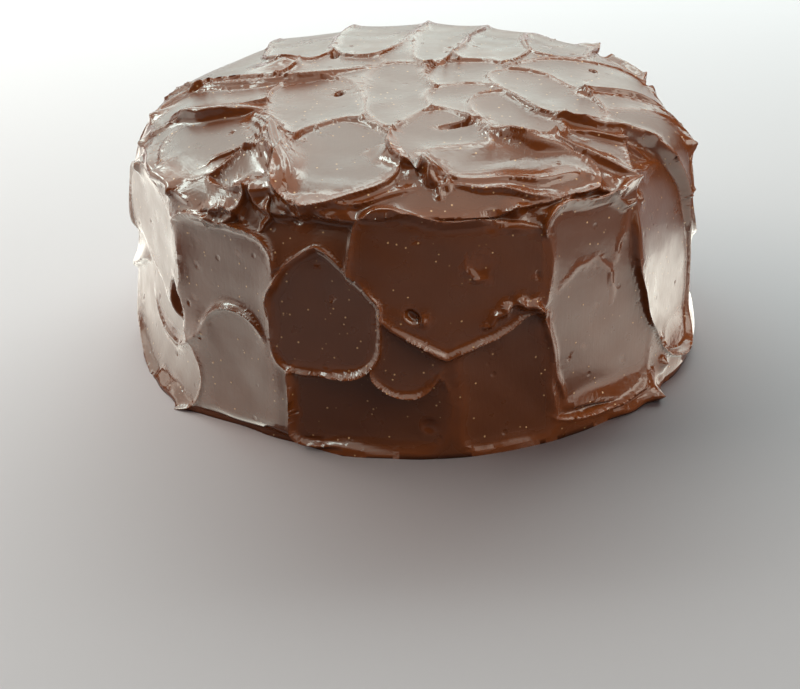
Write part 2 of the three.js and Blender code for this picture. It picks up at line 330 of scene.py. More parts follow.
def scoops():
    """Every scoop, in the order in which they were pulled: a later one lies over an earlier one."""
    return back_scoops() + [
        # tongues from the rim at the back to the middle
        on_top(Scoop, -80, 52, -75, 112, 56, depth=1.8, rise=0.8),
        on_top(Scoop, -42, 72, -93, 104, 36, sway=-4, rise=0.8, lip=0.8, fill=0.45),
        on_top(Scoop, -12, 74, -93, 100, 34, sway=-6, rise=0.8, lip=0.8, fill=0.5),
        on_top(Scoop, 42, 66, -94, 108, 40, sway=-6, rise=0.8, lip=0.8, fill=0.6),
        on_top(Scoop, 80, 2, 195, 86, 42, taper=0.1, rise=0.8, lip=0.8),
        on_top(Scoop, 67, 54, -97, 64, 30, rise=0.6, lip=0.8, fill=0.6),
        on_top(Scoop, 19, 70, -93, 114, 26, sway=-7, taper=-0.22, rise=0.9, lip=0.9, fill=0.55),
        # left of the top
        on_top(Scoop, -78, -12, -5, 62, 36, bank=-0.8),
        on_top(Scoop, -82, -74, -42, 48, 28, depth=0.4, lip=0.5, fill=0.4),
        on_top(Scoop, -64, -76, -30, 26, 17, depth=0.8, bank=1.2, fill=0.1),
        on_top(
            Scoop, -76, -49, -60, 46, 38, tail=3.4, nose=3,
            depth=0.7, rise=0.6, lip=0.5, soft=1, fill=0.2
        ),
        # middle of the top
        on_top(Scoop, -4, -22, -90, 78, 30, rise=0.3, lip=0.5),
        on_top(Scoop, 24, 0, -85, 38, 36, rise=0.5, lip=0.4),
        on_top(Scoop, 22, -32, -85, 42, 32, rise=0.7, lip=0.5),
        on_top(Scoop, -38, -32, -84, 64, 38, depth=1.6, rise=1.0, lip=0.8),
        # right of the top
        on_top(Scoop, 84, -56, 28, 92, 46, lip=0.3, soft=1.5, fill=0.35),
        on_top(Scoop, 40, -46, -68, 48, 30, lip=0.7),
        on_top(Scoop, 54, -22, -58, 62, 30, bank=-0.8, lip=0.8),
        # front of the top, first the band along its edge
        on_top(
            Scoop, -2, -90, 0, 112, 15, bend=-13, tail=4, nose=4,
            depth=0.4, lip=0.4, soft=0.6, fill=0.45
        ),
        on_top(
            Scoop, -27, -75, -90, 54, 42, taper=0.12, tail=1.7, nose=3,
            depth=2.2, rise=1.4, lip=1.0, fill=0.55
        ),
        on_top(
            Scoop, 10, -66, -92, 54, 36, taper=0.25, tail=1.7, nose=3,
            depth=2.2, rise=1.2, lip=1.2, fill=0.5
        ),
        on_top(Scoop, 33, -86, 5, 66, 24, tail=4, depth=1.0, lip=0.5, soft=2, fill=0.5),
        # wide facets of the wall
        on_wall(Scoop, -39, 61, 90, 46, 56, tail=4, nose=4, depth=0.6, flat=1, lip=0.4, soft=2, fill=0.6),
        on_wall(
            Scoop, 37, 48, 90, 84, 60, tail=5, nose=7,
            depth=0.3, flat=1, lip=1, push=1.2, fill=0.6, streak=0
        ),
        on_wall(
            Scoop, -66, 64, 180, 68, 44, tail=3, nose=3, depth=0.6, flat=1, lip=0.6, soft=2.5, fill=0.4
        ),
        on_wall(Scoop, -68, 25, -15, 98, 46, depth=0.8, flat=0.5, bank=-3, soft=1),
        # narrower facets over them
        on_wall(Scoop, -36, 28, 90, 48, 38, tail=4, nose=2.2, depth=1.0, flat=1, lip=0, push=0.1, soft=6),
        on_wall(
            Scoop, 61.5, 54, -70, 98, 52, bend=-3, tail=3, nose=2.4,
            depth=0.6, flat=1, bank=-1.0, lip=1.1
        ),
        on_wall(Scoop, 87, 62, -30, 66, 44, depth=2.6, lip=1.8),
        on_wall(Scoop, -9, 20, 180, 60, 36, tail=5, nose=6, depth=0.8, flat=1, lip=0.8, push=2.2, soft=1),
        on_wall(Scoop, -2, 44, -90, 30, 28, tail=3, nose=2.2, depth=1.8, lip=0.8, push=1.2),
        on_wall(
            Scoop, 16, 32, 90, 61, 37, sway=2, taper=-0.1, tail=5, nose=4,
            depth=1.4, flat=1, lip=0.8, push=1.2, soft=0.8
        ),
        on_wall(
            Scoop, 6, 67, -95, 47, 75, tail=9, nose=1.15,
            depth=1.6, flat=0.3, rise=1.4, lip=0.7, push=0.3, fill=0.55
        ),
        on_wall(
            Scoop, -18, 58, 90, 49, 44, bend=-2.5, tail=3.2, nose=1.4,
            depth=2.2, flat=0.4, lip=2.2, flank=5
        ),
    ]


def rolls():
    """Ridges that were pushed up between the scoops."""
    return [
        # left of the top
        on_top(Roll, -62, -38, -44, -98, 1, 13, 5.4, streak=0.5),
        on_top(Roll, -98, -20, -58, -36, -4, 11, 5.5, lean=-2.8),
        on_top(Roll, -113, -28, -92, -70, -2, 6, 2.6, lean=-0.8, streak=0.2),
        on_top(Roll, -78, -68, -54, -69, 2, 4, 1.8, lean=-0.6),
        on_top(Roll, -112, 26, -14, 13, -22, 9, 2.2, lean=-0.6, streak=0.5),
        # front edge of the top
        on_top(Roll, -68, -82, -44, -95, -1, 9, 3.4, lean=-0.8),
        on_top(Roll, -50, -97, 2, -99, -6, 5, 2.2, lean=-0.6, streak=0.25),
        on_top(Roll, -16, -74, 1, -96, 1, 9, 4.2, lean=1.0),
        on_top(Roll, 3, -84, 7, -100, 0, 10, 7.5, lean=-1.0),
        on_top(Roll, 5, -95, 60, -84, -5, 7, 2.8, lean=-0.6, streak=0.3),
        on_top(Roll, 7, -104, 14, -95, 0, 4, 2.5),
        on_top(Roll, 11, -99, 52, -97, -1, 4.5, 2.4, lean=-0.4, streak=0.2),
        on_top(Roll, 25, -62, 60, -72, -4, 14, 4.8, lean=-0.6, streak=0.2),
        on_top(Roll, 52, -68, 86, -76, -1, 8, 3.2, lean=-0.8, streak=0.2),
        # right of the top
        on_top(Roll, 54, -49, 98, -43, -3, 7, 3.0, lean=-0.8, streak=0.2),
        on_top(Roll, 58, -57, 96, -52, -2, 6, 2.4, lean=-0.6, streak=0.2),
        on_top(Roll, 66, -19, 108, -8, 0, 6, 2.6, lean=-0.6, streak=0.15),
        on_top(Roll, 76, 74, 108, 20, 4, 9, 4.2, lean=-1.6),
        # rim
        wall_roll(-80, 90, -44, 87, 2, 6, 1.6, lean=-0.6, streak=0.2),
        wall_roll(-44, 86, -34, 90, 1, 4, 1.6, lean=-0.8),
        wall_roll(-39.5, 90, -43, 82, 1.5, 2.8, 2.6),
        on_top(Roll, -72, -89, -65, -99, 1.5, 2.6, 1.6),
        on_top(Roll, -52, -93, -60, -104, 3, 3, 2.4, lean=1.0),
        on_top(Roll, -47, -97, -38, -106, 2.5, 3, 2.0),
        wall_roll(-24, 92, -11, 93, 1, 4, 2.0, lean=-0.8),
        on_top(Roll, 52, -100, 71, -86, 2, 3.5, 2.2),
        on_top(Roll, 68, -87, 86, -83, -3, 3.5, 2.2),
        wall_roll(42, 93, 64, 91, 1, 5, 1.6, streak=0.15),
        # thin lines on the wall's facets
        wall_roll(11.5, 52, 17.5, 61, 1, 3.5, 2.0),
        wall_roll(17, 61, 23.5, 54, 2, 4, 2.4),
        wall_roll(24, 56, 29, 12, -2, 4, 1.6),
        wall_roll(26, 62, 36, 70, 3, 3, 0.6),
        wall_roll(36, 71, 40, 48, 3, 3, 0.7),
        wall_roll(45, 86, 40, 64, -1, 3, 0.6),
        wall_roll(8.5, 80, 13, 71, -3, 3, 0.8),
        wall_roll(-11, 93.5, 22.5, 86, 1.5, 2.6, 1.6),
        wall_roll(-23.2, 34, -22.7, 8, 0, 3, 1.2),
        # low on the wall
        wall_roll(-96, 16, -76, 42, 4, 8, 3.0, lean=-1.5),
        wall_roll(-72, 30, -44, 38, -12, 6, 1.4, streak=0.3),
        wall_roll(28, 12, 56, 8, -2, 8, 2.6, lean=-1.0),
        # foot
        wall_roll(-46, 1, -14, 1, 0, 9, -4.5),
        wall_roll(38, 2, 56, 2, 0, 9, 3.5),
        wall_roll(54, 6, 86, 14, -4, 20, 4.0),
        wall_roll(-64, 1, -46, 1, 0, 8, 3.5),
    ]


def peaks():
    """Tips that the spatula pulled up as it lifted."""
    return [
        on_top(Peak, 59, -46, 3.5, 2.6),
        on_top(Peak, 53, -66, 4, 3.5, 0, 1.5),
        on_top(Peak, 70, -19, 4, 2.2),
        on_top(Peak, -55, 15, 11, 4.0, 2.0, 0),
        on_top(Peak, 36, -105, 5, 2.8),
        on_top(Peak, 46, -104, 5, 2.8),
        on_top(Peak, 63, -84, 2.4, 1.8),
        on_top(Peak, 67, -85, 2.4, 1.8),
        on_top(Peak, 72, -81, 2.6, 1.8),
        on_wall(Peak, -53, 88, 4, 2.4, 0, -2),
        on_wall(Peak, -21, 92, 4, 2.6, 0, -1),
        on_wall(Peak, 48, 86, 4, 2.4, 0, -1),
        on_wall(Peak, 15.5, 60, 2.6, 2.0),
        on_wall(Peak, 18.5, 61.5, 2.6, 2.2),
        on_wall(Peak, 21, 60, 2.6, 2.0),
        on_wall(Peak, 1, 57, 2.6, 1.8),
        on_wall(Peak, 50, 3, 5, 6.0),
        on_wall(Peak, 55, 11, 4, 4.0),
        on_wall(Peak, 58, 16, 4, 3.5),
        # curls that stand out along the rim at the sides
        on_wall(Peak, -88, 96, 5, 3.0),
        on_wall(Peak, -80, 90, 4, 3.0, 0, -1),
        on_wall(Peak, -74, 84, 4, 2.6, 0, -1),
        on_wall(Peak, 78, 97, 4, 2.2),
        on_wall(Peak, 76, 87, 5, 4.5, 0, -1),
    ]


def pits():
    """Tears and burst bubbles."""
    return [
        on_top(Pit, -29, -18, 70, 5, 3.2, 3),
        on_top(Pit, 78, 13, 0, 3, 3, 2.5),
        on_top(Pit, 19, -54, 12, 16, 3.6, 3.0),
        on_top(Pit, -32, 29, 80, 7, 3.4, 3.5),
        on_wall(Pit, -52, 44, 110, 16, 6, 3.5),
        on_top(Pit, 30, -109, 12, 14, 6, 2.0),
        on_top(Pit, -42, -103, 140, 7, 5, 1.8),
        on_wall(Pit, -0.8, 59, 140, 6, 3.6, 2.2),
        on_wall(Pit, 2, 13, 0, 5, 5, 1.2),
        on_wall(Pit, 11.5, 77, 60, 8, 6, 0.7),
    ] + dents()


def dents():
    """Small dents that air left, scattered over the top and the wall."""
    chance = np.random.default_rng(DENT_SEED)
    made = []
    for _ in range(DENT_COUNT):
        heading = chance.uniform(0, 180)
        length = chance.uniform(*DENT_LENGTHS)
        width = chance.uniform(*DENT_WIDTHS)
        depth = chance.uniform(*DENT_DEPTHS)
        if chance.random() < DENTS_ON_TOP:
            x, y = chance.uniform(*DENT_PLAN, 2)
            made.append(on_top(Pit, x, y, heading, length, width, depth))
        else:
            degrees = chance.uniform(-180, 180)
            height = chance.uniform(*DENT_HEIGHTS)
            made.append(on_wall(Pit, degrees, height, heading, length, width, depth))
    return made


def smooth(low, high, value):
    """A step from 0 at low to 1 at high, eased at both ends."""
    part = np.clip((value - low) / (high - low), 0, 1)
    return part * part * (3 - 2 * part)


def fade(value):
    """A soft step from 1 well below 0 to 0 well above it."""
    return 1 / (1 + np.exp(np.clip(value, -EXP_LIMIT, EXP_LIMIT)))


class Profile:
    """The cake's outline from the top's middle to the foot, by the length run along it."""

    STEPS = 4000
    SLOPE_STEP = 0.4

    def __init__(self):
        turn = math.pi / 4 * (1 - np.cos(np.linspace(0, math.pi, self.STEPS)))
        self.radius = CAKE_RADIUS * np.sin(turn) ** (2 / RIM_POWER)
        self.height = CAKE_HEIGHT * np.abs(np.cos(turn)) ** (2 / WALL_POWER)
        self.height[-1] = 0
        pieces = np.hypot(np.diff(self.radius), np.diff(self.height))
        self.run = np.concatenate([[0], np.cumsum(pieces)])
        self.length = self.run[-1]
        self.plan_end = np.interp(PLAN_LIMIT, self.radius, self.run)

    def at(self, run):
        """Radius and height there, and the direction in which the outline goes on."""
        before = np.clip(run - self.SLOPE_STEP, 0, self.length)
        after = np.clip(run + self.SLOPE_STEP, 0, self.length)
        out = np.interp(after, self.run, self.radius) - np.interp(before, self.run, self.radius)
        up = np.interp(after, self.run, self.height) - np.interp(before, self.run, self.height)
        span = np.hypot(out, up)
        radius = np.interp(run, self.run, self.radius)
        height = np.interp(run, self.run, self.height)
        return radius, height, out / span, up / span


PROFILE = Profile()


class Frosting:
    """The frosting's height over the cake, and how far its crests lean over, at many points at once."""

    def __init__(self, run, azimuth):
        self.radius, self.level, self.out, self.up = PROFILE.at(run)
        self.sine = np.sin(azimuth)
        self.cosine = np.cos(azimuth)
        self.plan = np.where(run < PROFILE.plan_end, self.radius, PLAN_LIMIT + run - PROFILE.plan_end)
        self.charts = {
            "top": (self.plan * self.sine, -self.plan * self.cosine),
            "wall": (azimuth * CAKE_RADIUS, self.level),
        }
        self.height = np.zeros_like(run)
        self.ridge = np.zeros_like(run)
        self.thin = np.zeros_like(run)
        self.lean_down = np.zeros_like(run)
        self.lean_round = np.zeros_like(run)
        self.drag = np.stack([*self.charts["top"], self.level], axis=-1)
        self.edge_gap = np.full_like(run, NO_EDGE)
        self.edge_run = np.zeros_like(run)
        self.edge_azimuth = np.zeros_like(run)
        self.spread()

    def spread(self):
        """Makes every mark in turn."""
        for scoop in scoops():
            self.pull(scoop)
        for roll in rolls():
            self.push_up(roll)
        for peak in peaks():
            self.pull_up(peak)
        for pit in pits():
            self.sink(pit)
        self.height += FOOT_FLARE * np.exp(-self.level / FOOT_REACH) + self.ripple()

    def offset(self, chart, x, y):
        """Distance of every point from a place on a chart."""
        chart_x, chart_y = self.charts[chart]
        across = chart_x - x
        if chart == "wall":
            round_trip = FULL_TURN * CAKE_RADIUS
            across = (across + round_trip / 2) % round_trip - round_trip / 2
        return across, chart_y - y

    def lean(self, chart, x, y):
        """Leans the frosting over by a distance on a chart."""
        if chart == "top":
            self.lean_down += x * self.sine - y * self.cosine
            self.lean_round += x * self.cosine + y * self.sine
        else:
            self.lean_round += x
            self.lean_down -= y

    def pull(self, scoop):
        """Lays a scoop over what is there."""
        x, y = self.offset(scoop.chart, scoop.x, scoop.y)
        turn = math.radians(scoop.heading)
        cosine, sine = math.cos(turn), math.sin(turn)

        # Where each point lies along and across the scoop, whose outline has the size 1, and its gap to it
        half_length = scoop.length / 2
        along = (x * cosine + y * sine) / half_length
        held = np.clip(along, -scoop.BEND_END, scoop.BEND_END)
        half_width = scoop.width / 2 * (1 + scoop.taper * held)
        bent = scoop.bend * (1 - held**2) + scoop.sway * (1.5 * held - 0.5 * held**3)
        side = y * cosine - x * sine - bent
        across = side / half_width
        power = scoop.tail + (scoop.nose - scoop.tail) * smooth(*scoop.TAIL_TO_NOSE, along)
        size = (np.abs(along) ** power + np.abs(across) ** power) ** (1 / power) + scoop.SIZE_LEAST
        slope_along = np.sign(along) * (np.abs(along) / size) ** (power - 1) / half_length
        slope_across = np.sign(across) * (np.abs(across) / size) ** (power - 1) / half_width
        slope = np.hypot(slope_along, slope_across) + TINY
        gap = (size - 1) / slope + self.wobble(scoop)
        beyond = np.maximum(gap, 0)
        end_along, end_across = along / size, across / size

        # Its floor: dished, tilted, flattened against the wall's round and filled out at the rim
        floor = -scoop.depth * (1 - np.minimum(size, scoop.DISH_END) ** 2)
        tilt_along = np.clip(along, -scoop.TILT_END, scoop.TILT_END)
        tilt_across = np.clip(across, -scoop.TILT_END, scoop.TILT_END)
        floor += scoop.rise * tilt_along + scoop.bank * tilt_across
        if scoop.flat:
            reach = math.hypot(half_length * cosine, scoop.width / 2 * sine)
            aside = np.minimum(np.abs(x), scoop.TILT_END * reach)
            floor += scoop.flat * (aside**2 - reach**2) / (2 * CAKE_RADIUS)
        filled = scoop.fill * self.rim_fall(scoop)
        floor += filled
        stray = scoop.LINE_STRAY * np.sin(side * scoop.STRAY_TURN + scoop.x)
        lines = np.sin(side * scoop.LINE_TURN + stray) * np.sin(side * scoop.FADE_TURN + scoop.y)
        floor += scoop.streak * lines * smooth(*scoop.LINES_FROM, gap)

        # The lip round it, and the skirt from its edge down to what lies lower
        blurred = scoop.soft * (1 - smooth(*scoop.CRISP_FROM, end_along))
        turned = np.arctan2(end_across, end_along)
        wave, waves = scoop.LIP_WAVES
        wavelet, wavelets = scoop.LIP_WAVELETS
        uneven = scoop.LIP_MEAN + wave * np.sin(waves * turned + scoop.x)
        uneven += wavelet * np.sin(wavelets * turned + scoop.y)
        lip = scoop.lip * np.maximum(uneven, scoop.LIP_LEAST) / (1 + blurred)
        lip += scoop.push * smooth(*scoop.PUSH_FROM, end_along)
        wire = np.exp(-((gap / scoop.LIP_INNER) ** 2))
        flank = np.exp(-beyond / scoop.flank)
        crest = lip * np.where(gap < 0, wire, scoop.LIP_WIRE * wire + (1 - scoop.LIP_WIRE) * flank)
        edge = scoop.rise * end_along + scoop.bank * end_across + filled
        drop = np.clip(edge - self.height, 0, None)
        skirt = drop * np.exp(-((beyond / scoop.SKIRT_REACH) ** scoop.SKIRT_POWER))
        inside = fade((gap + scoop.EDGE_SET_BACK) / (scoop.EDGE_BLEND + blurred))
        laid = inside * floor + (1 - inside) * (self.height + skirt) + crest

        # The lean of the lip, and what is noted for the mesh and the material
        near = np.exp(-((gap / scoop.LEAN_REACH) ** 2))
        raised = np.clip(laid - self.height, 0, scoop.LEAN_LIMIT)
        lean = scoop.lean * raised * near * smooth(*scoop.LEAN_FROM, edge + lip)
        wiped = smooth(*scoop.WIPED, gap)
        self.lean_down *= 1 - wiped
        self.lean_round *= 1 - wiped
        out_x = (slope_along * cosine - slope_across * sine) / slope
        out_y = (slope_along * sine + slope_across * cosine) / slope
        self.lean(scoop.chart, out_x * lean, out_y * lean)
        self.note_edge(scoop.chart, gap, -gap * out_x, -gap * out_y)
        # Ridges along the edge: noted for their smoother gloss and for their painted glow in the material
        ridge = np.exp(-((gap / scoop.RIDGE_REACH) ** 2))
        self.ridge = np.maximum(self.ridge * (1 - wiped), ridge)
        # Thin lips are noted for their painted glow in the material
        thin = wire * np.clip(lip - scoop.THIN_FROM, 0, 1)
        self.thin = np.maximum(self.thin * (1 - wiped), thin)
        pulled = np.stack([along * half_length, side, np.full_like(side, scoop.x + scoop.y)], axis=-1)
        self.drag = np.where((gap < 0)[:, None], pulled, self.drag)
        self.height = laid

    def rim_fall(self, scoop):
        """How far the cake's rim falls away from the plane that a scoop starts in."""
        if scoop.chart == "top":
            middle = min(math.hypot(scoop.x, scoop.y), scoop.LEVEL_REACH)
            start = np.interp(middle, PROFILE.radius, PROFILE.height)
            return np.clip(start - self.level, 0, scoop.FALL_LIMIT) * self.out
        fall = np.clip(CAKE_RADIUS - self.radius, 0, scoop.FALL_LIMIT)
        return fall / np.maximum(-self.up, scoop.SLOPE_LEAST)

    def wobble(self, scoop):
        """How far a scoop's outline strays from its even form."""
        x, y = self.charts[scoop.chart]
        wide_x, wide_y = scoop.WIDE_WAVES
        fine_x, fine_y, cross_y, cross_x = scoop.FINE_WAVES
        wide = np.sin(x / wide_x + scoop.x) * np.sin(y / wide_y + scoop.y)
        fine = np.sin(x / fine_x + y / fine_y + scoop.x) * np.sin(y / cross_y - x / cross_x)
        return scoop.WOBBLE * (wide + scoop.FINE_SHARE * fine)

    def ripple(self):
        """How far the frosting strays from its marks."""
        x, y = self.charts["top"]
        across = np.sin(x / RIPPLE_ACROSS + RIPPLE_BEND * np.sin(y / RIPPLE_BENDS))
        back = np.sin(y / RIPPLE_BACK + self.level / RIPPLE_UP)
        return RIPPLE_HEIGHT * across * back

    def note_edge(self, chart, gap, x, y):
        """Remembers the way to the crest of the nearest edge that still shows."""
        if chart == "top":
            run = x * self.sine - y * self.cosine
            azimuth = (x * self.cosine + y * self.sine) / np.maximum(self.plan, MIDDLE_RADIUS)
        else:
            run = -y
            azimuth = x / CAKE_RADIUS
        taken = (gap < EDGE_LOST) | (np.abs(gap) < self.edge_gap)
        self.edge_gap = np.where(taken, np.abs(gap), self.edge_gap)
        self.edge_run = np.where(taken, run, self.edge_run)
        self.edge_azimuth = np.where(taken, azimuth, self.edge_azimuth)

    def push_up(self, roll):
        """Adds a roll to what is there."""
        x, y = self.offset(roll.chart, (roll.x + roll.end_x) / 2, (roll.y + roll.end_y) / 2)
        length = math.hypot(roll.end_x - roll.x, roll.end_y - roll.y)
        cosine, sine = (roll.end_x - roll.x) / length, (roll.end_y - roll.y) / length
        along = (x * cosine + y * sine) / (length / 2)
        stray = roll.STRAY * np.sin(along * roll.STRAY_TURN + roll.x)
        side = y * cosine - x * sine - roll.bow * (1 - along**2) + stray
        ends = np.clip(1 - along**2, 0, 1) ** roll.END_POWER
        narrowed = roll.END_WIDTH + (1 - roll.END_WIDTH) * ends
        steep = np.where(side * roll.lean > 0, roll.STEEP, roll.GENTLE) if roll.lean else 1
        across = side / (roll.width / 2 * narrowed * steep)
        body = np.exp(-roll.FALL * across**2) * ends
        lines = np.cos(side * FULL_TURN / roll.LINE_PITCH)
        self.height += (roll.height + roll.streak * lines) * body
        self.lean(roll.chart, -sine * roll.lean * body, cosine * roll.lean * body)
        ridge = smooth(*roll.RIDGE, np.abs(across)) * (np.abs(along) < roll.RIDGE_END)
        self.ridge = np.maximum(self.ridge, ridge)

    def pull_up(self, peak):
        """Adds a tip to what is there."""
        x, y = self.offset(peak.chart, peak.x, peak.y)
        far = np.hypot(x, y) / peak.radius
        body = np.exp(-peak.FALL * far**peak.FALL_POWER)
        self.height += peak.height * body
        tip = body**peak.TIP_POWER
        self.lean(peak.chart, peak.lean_x * tip, peak.lean_y * tip)
        self.ridge = np.maximum(self.ridge, smooth(*peak.RIDGE, far))

    def sink(self, pit):
        """Takes a hole out of what is there."""
        x, y = self.offset(pit.chart, pit.x, pit.y)
        turn = math.radians(pit.heading)
        along = (x * math.cos(turn) + y * math.sin(turn)) / (pit.length / 2)
        across = (y * math.cos(turn) - x * math.sin(turn)) / (pit.width / 2)
        far = np.hypot(along, across)
        self.height -= pit.depth * fade(pit.SHARPNESS * (far - 1))
        self.ridge = np.maximum(self.ridge, smooth(*pit.RIDGE, far))

    def points(self):
        """Where the frosted surface is, in metres."""
        held_foot = smooth(0, FOOT_HELD, self.level)
        down = self.lean_down * held_foot
        aside = self.lean_round * held_foot
        radius = self.radius - self.up * self.height + self.out * down
        level = np.maximum(self.level + self.out * self.height + self.up * down, 0)
        x = radius * self.sine + aside * self.cosine
        y = -radius * self.cosine + aside * self.sine
        return np.stack([x, y, level], axis=-1) * MM


def run_and_azimuth(box):
    """The run along the profile and the azimuth for points on a box from -1 to 1.

    The cake's top and wall take the box's top and walls.
    """
    x, y, z = box.T
    reach = np.maximum(np.abs(x), np.abs(y))
    safe = np.maximum(reach, TINY)
    on_side = np.abs(x) >= np.abs(y)
    beside = np.where(x > 0, math.pi / 2, -math.pi / 2) + np.sign(x) * math.pi / 4 * y / safe
    front = math.pi / 4 * x / safe
    ahead = np.where(y < 0, front, math.pi - front)
    azimuth = np.where(on_side, beside, ahead)
    depth = (1 - z) / 2
    down_wall = WALL_START + depth * (PROFILE.length - WALL_START)
    run = np.where(depth < SAME_LEVEL, reach * WALL_START, down_wall)
    return run, azimuth


def box_points(mesh):
    """The vertices of a bmesh as an array."""
    return np.array([vertex.co for vertex in mesh.verts])


def frosting_over(box):
    """The frosting at points of a box."""
    return Frosting(*run_and_azimuth(box))


def frosted_points(mesh):
    """Where the vertices of a box go on the frosted cake, those near a crest onto the crest itself."""
    run, azimuth = run_and_azimuth(box_points(mesh))
    frosting = Frosting(run, azimuth)
    near = (frosting.edge_gap < SNAP_REACH) & (run < PROFILE.length - FOOT_HELD)
    frosting = Frosting(run + near * frosting.edge_run, azimuth + near * frosting.edge_azimuth)
    return frosting.points(), {"crest": frosting.thin, "ridge": frosting.ridge, "drag": frosting.drag}


def edges_along(mesh, upright):
    """The edges that stand upright, or those that lie level."""
    chosen = []
    for edge in mesh.edges:
        rise = abs(edge.verts[0].co.z - edge.verts[1].co.z)
        if (rise > SAME_LEVEL) == upright:
            chosen.append(edge)
    return chosen


def has_few_corners(face):
    """Whether a face is a triangle or a quad: only these are split, and shaded smooth."""
    return len(face.verts) <= 4


def split_bends(mesh, tolerance):
    """Splits triangles and quads with an edge whose middle strays too far from the frosted surface."""
    mesh.verts.index_update()
    mesh.edges.index_update()
    box = box_points(mesh)
    ends = np.array([[vertex.index for vertex in edge.verts] for edge in mesh.edges])
    middles = frosting_over(box[ends].mean(axis=1)).points()
    chords = frosting_over(box).points()[ends].mean(axis=1)
    stray = np.linalg.norm(middles - chords, axis=1)
    chosen = set()
    for face in mesh.faces:
        if has_few_corners(face) and max(stray[edge.index] for edge in face.edges) > tolerance:
            chosen.update(face.edges)
    bmesh.ops.subdivide_edges(mesh, edges=list(chosen), cuts=1, use_grid_fill=True)


def new_piece(name, mesh, material):
    """Turns a bmesh into an object with one material."""
    data = bpy.data.meshes.new(name)
    mesh.to_mesh(data)
    mesh.free()
    data.materials.append(material)
    piece = bpy.data.objects.new(name, data)
    bpy.context.scene.collection.objects.link(piece)
    return piece


class NodeBench:
    """Adds nodes to a material's tree and links them."""

    # Sockets of a Mix node that mixes colours
    MIX_AMOUNT = 0
    MIX_FIRST = 6
    MIX_SECOND = 7
    MIX_RESULT = 2

    def __init__(self, name):
        self.material = bpy.data.materials.new(name)
        self.material.use_nodes = True
        self.tree = self.material.node_tree
        self.shader = self.tree.nodes["Principled BSDF"]

    def add(self, kind, inputs=None, **settings):
        """A node with its settings and inputs: an input is a number, a colour or another node's socket."""
        node = self.tree.nodes.new(kind)
        for key, value in settings.items():
            setattr(node, key, value)
        for key, value in (inputs or {}).items():
            self.feed(node.inputs[key], value)
        return node

    def feed(self, socket, value):
        """Links a socket or sets its value."""
        if isinstance(value, bpy.types.NodeSocket):
            self.tree.links.new(value, socket)
        else:
            socket.default_value = value

    def math(self, operation, *values):
        """A Math node's result."""
        node = self.add("ShaderNodeMath", operation=operation)
        for socket, value in zip(node.inputs, values):
            self.feed(socket, value)
        return node.outputs[0]

    def mix(self, amount, first, second):
        """A colour between two colours."""
        node = self.add("ShaderNodeMix", data_type="RGBA")
        self.feed(node.inputs[self.MIX_AMOUNT], amount)
        self.feed(node.inputs[self.MIX_FIRST], first)
        self.feed(node.inputs[self.MIX_SECOND], second)
        return node.outputs[self.MIX_RESULT]

    def ramp(self, value, low, high, low_out=0.0, high_out=1.0):
        """A value mapped from one range to another and held there."""
        node = self.add(
            "ShaderNodeMapRange",
            {"Value": value, "From Min": low, "From Max": high, "To Min": low_out, "To Max": high_out},
        )
        return node.outputs["Result"]

    def attribute(self, name, output):
        """What the mesh holds under a name."""
        return self.add("ShaderNodeAttribute", attribute_name=name).outputs[output]

    def noise(self, place, scale, detail):
        """A cloudy pattern."""
        node = self.add("ShaderNodeTexNoise", {"Vector": place, "Scale": scale, "Detail": detail})
        return node.outputs["Fac"]

    def dots(self, place, scale, pick, edge):
        """Round dots, in those cells of a pattern whose chance value is above the pick."""
        cells = self.add("ShaderNodeTexVoronoi", {"Vector": place, "Scale": scale})
        picked = self.ramp(cells.outputs["Color"], *pick)
        dot = self.ramp(cells.outputs["Distance"], *edge, 1, 0)
        return self.math("MULTIPLY", picked, dot)


# Patterns in the frosting's material, in waves or cells to the metre
PATCH_SCALE = 28
SPECK_SCALE = 430
SHEEN_SCALE = 90
BUBBLE_SCALE = 150
GRAIN_SCALE = 420

# Where a pattern begins to show and where it shows in full
PATCH_SHOWN = (0.35, 0.65)
SHEEN_SHOWN = (0.3, 0.7)
SPECK_PICK = (0.72, 0.74)
SPECK_EDGE = (0.1, 0.2)
BUBBLE_PICK = (0.7, 0.72)
BUBBLE_EDGE = (0.08, 0.2)

# How much of the crests' painted glow shows, and how far the roughness strays down and up
CREST_GLOW_SHARE = 0.35
SMOOTHER = 0.04
ROUGHER = 0.06

# Bump: height of the grain, the specks and the drawn lines, how these run along and across a stroke
# and from one stroke to the next, and the bump's strength and depth in metres
GRAIN_HEIGHT = 0.32
SPECK_HEIGHT = 0.4
LINE_HEIGHT = 0.16
LINE_WAVES = (0.08, 1.3, 1)
BUMP_STRENGTH = 0.5
BUMP_DEPTH = 0.0004


